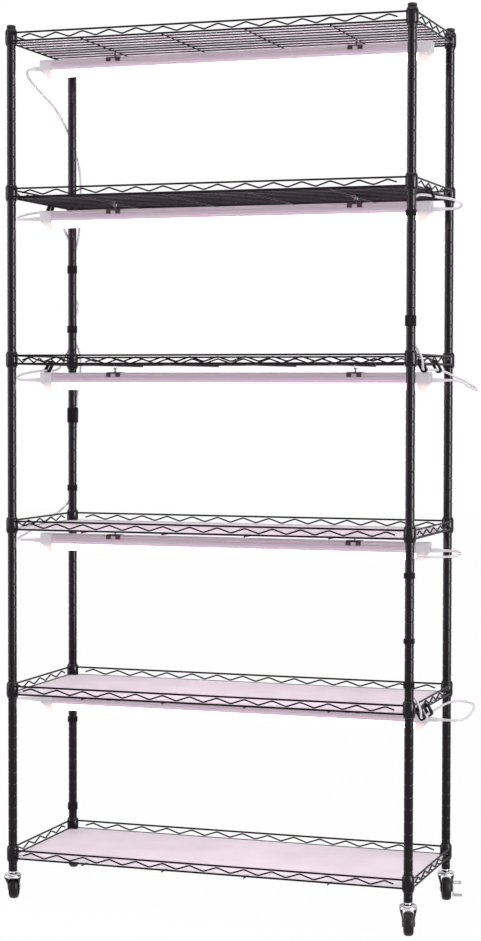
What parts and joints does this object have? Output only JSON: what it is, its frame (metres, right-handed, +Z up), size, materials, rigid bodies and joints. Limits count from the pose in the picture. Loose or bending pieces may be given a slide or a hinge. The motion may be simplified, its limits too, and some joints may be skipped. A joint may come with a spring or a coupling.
{
  "type": "wire shelf plant stand",
  "caption": "Tall free-standing wire shelf rack on braked swivel casters, with a hanging grow light under each upper shelf and cords strapped to its posts",
  "frame": {"origin": "on the floor, under the middle of the rectangle of the four posts", "axes": "+X along the shelves to the right, +Y from the front to the back, +Z up"},
  "size_m": [1.043, 0.5316, 1.8811],
  "materials": {
    "post": "black powder coat, semi-gloss",
    "wire": "black powder coat, semi-gloss",
    "cap_plastic": "black moulded plastic",
    "liner": "frosted clear sheet",
    "housing": "white painted extrusion",
    "lens": "opal diffuser",
    "board": "white solder mask",
    "end_cap": "white moulded plastic",
    "clip": "spring steel",
    "hook": "bent steel wire",
    "connector": "white moulded plastic",
    "cord": "white cord jacket",
    "wrap": "black hook-and-loop tape",
    "chrome": "bright plated steel",
    "wheel": "black moulded wheel",
    "brake": "black stamped steel"
  },
  "bodies": {
    "stand": {"caster_sockets": "cap_plastic", "caster_stems": "chrome", "cord_connectors": "connector", "cord_wraps": "wrap", "light_1_housing": "housing", "light_1_lens": "lens", "light_2_housing": "housing", "light_2_lens": "lens", "light_3_housing": "housing", "light_3_lens": "lens", "light_4_housing": "housing", "light_4_lens": "lens", "light_5_housing": "housing", "light_5_lens": "lens", "light_boards": "board", "light_clips": "clip", "light_end_caps": "end_cap", "light_hooks": "hook", "liner_2": "liner", "liner_3": "liner", "liner_4": "liner", "liner_5": "liner", "liner_6": "liner", "link_cord_1_2": "cord", "link_cord_2_3": "cord", "link_cord_3_4": "cord", "link_cord_4_5": "cord", "post_back_left": "post", "post_back_right": "post", "post_caps": "cap_plastic", "post_front_left": "post", "post_front_right": "post", "power_cord": "cord", "power_cord_coil": "cord", "power_plug": "connector", "shelf_1": "wire", "shelf_2": "wire", "shelf_3": "wire", "shelf_4": "wire", "shelf_5": "wire", "shelf_6": "wire"},
    "swivel_front_left": {"caster_front_left_fork": "chrome", "caster_front_left_axle": "chrome"},
    "wheel_front_left": {"caster_front_left_wheel": "wheel"},
    "swivel_front_right": {"caster_front_right_fork": "chrome", "caster_front_right_axle": "chrome"},
    "wheel_front_right": {"caster_front_right_wheel": "wheel"},
    "swivel_back_left": {"caster_back_left_fork": "chrome", "caster_back_left_axle": "chrome"},
    "wheel_back_left": {"caster_back_left_wheel": "wheel"},
    "brake_back_left": {"caster_back_left_brake": "brake"},
    "swivel_back_right": {"caster_back_right_fork": "chrome", "caster_back_right_axle": "chrome"},
    "wheel_back_right": {"caster_back_right_wheel": "wheel"},
    "brake_back_right": {"caster_back_right_brake": "brake"}
  },
  "joints": [
    {"name": "swivel_front_left", "type": "hinge", "parent": "stand", "child": "swivel_front_left", "pos_m": [-0.44, -0.165, 0.055], "axis": [0, 0, 1], "continuous": true},
    {"name": "spin_front_left", "type": "hinge", "parent": "swivel_front_left", "child": "wheel_front_left", "pos_m": [-0.44585, -0.14587, 0.025], "axis": [-0.9563, -0.2924, 0], "continuous": true},
    {"name": "swivel_front_right", "type": "hinge", "parent": "stand", "child": "swivel_front_right", "pos_m": [0.44, -0.165, 0.055], "axis": [0, 0, 1], "continuous": true},
    {"name": "spin_front_right", "type": "hinge", "parent": "swivel_front_right", "child": "wheel_front_right", "pos_m": [0.44585, -0.18413, 0.025], "axis": [0.9563, 0.2924, 0], "continuous": true},
    {"name": "swivel_back_left", "type": "hinge", "parent": "stand", "child": "swivel_back_left", "pos_m": [-0.44, 0.165, 0.055], "axis": [0, 0, 1], "continuous": true},
    {"name": "spin_back_left", "type": "hinge", "parent": "swivel_back_left", "child": "wheel_back_left", "pos_m": [-0.44585, 0.18413, 0.025], "axis": [-0.9563, -0.2924, 0], "continuous": true},
    {"name": "brake_back_left", "type": "hinge", "parent": "swivel_back_left", "child": "brake_back_left", "pos_m": [-0.44585, 0.18413, 0.025], "axis": [-0.9563, -0.2924, 0], "range_deg": [-25, 0]},
    {"name": "swivel_back_right", "type": "hinge", "parent": "stand", "child": "swivel_back_right", "pos_m": [0.44, 0.165, 0.055], "axis": [0, 0, 1], "continuous": true},
    {"name": "spin_back_right", "type": "hinge", "parent": "swivel_back_right", "child": "wheel_back_right", "pos_m": [0.44585, 0.14587, 0.025], "axis": [0.9563, 0.2924, 0], "continuous": true},
    {"name": "brake_back_right", "type": "hinge", "parent": "swivel_back_right", "child": "brake_back_right", "pos_m": [0.44585, 0.14587, 0.025], "axis": [0.9563, 0.2924, 0], "range_deg": [-25, 0]}
  ]
}
